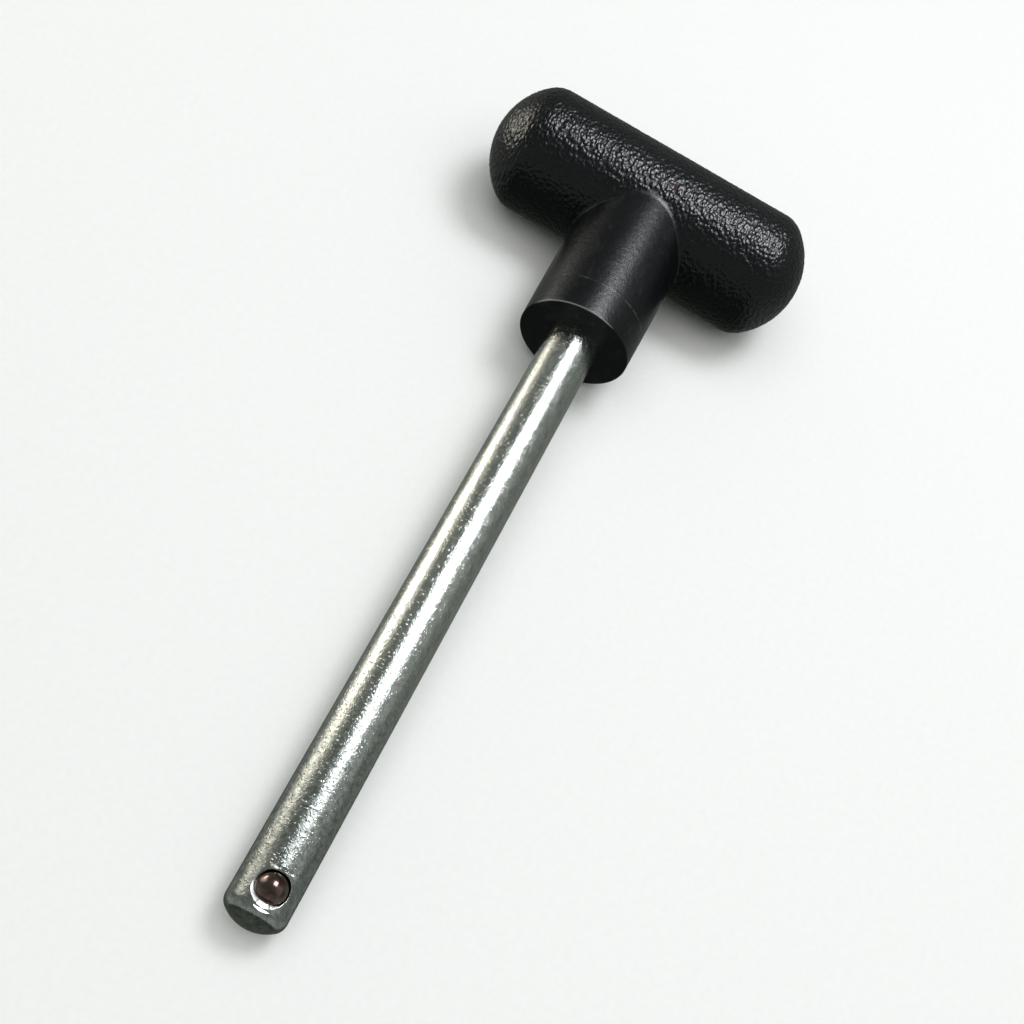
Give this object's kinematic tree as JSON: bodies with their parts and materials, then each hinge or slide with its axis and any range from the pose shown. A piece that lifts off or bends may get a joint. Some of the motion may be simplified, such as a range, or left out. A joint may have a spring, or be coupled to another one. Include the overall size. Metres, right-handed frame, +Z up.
{
  "type": "weight stack pin",
  "caption": "T-handled locking pin for a weight stack: a moulded grip on a round plated steel shaft, with a sprung ball near its tip.",
  "frame": {"origin": "centre of the footprint at the level that the pin lies on, with the ball on top", "axes": "+X along the pin from the grip to the tip, +Y along the grip's bar, +Z up. The pin lies on the underside of the grip and the round shoulder of its nose, so its axis points down by 3.0 degrees towards the tip."},
  "size_m": [0.1573, 0.0636, 0.0242],
  "materials": {
    "grip_plastic": "grained black moulding",
    "zinc_plated_steel": "bright zinc plated",
    "ball_steel": "polished bearing steel",
    "spring_steel": "drawn wire"
  },
  "bodies": {
    "pin": {"grip_handle": "grip_plastic", "pin_shaft": "zinc_plated_steel", "detent_spring": "spring_steel"},
    "ball": {"detent_ball": "ball_steel"}
  },
  "joints": [
    {"name": "ball_slide", "type": "slide", "parent": "pin", "child": "ball", "axis": [0.0512, 0.1219, 0.9912], "range_m": [-0.0011, 0], "stiffness_N_per_m": 1500, "springref_m": 0.0015, "deforming": ["detent_spring"]}
  ]
}
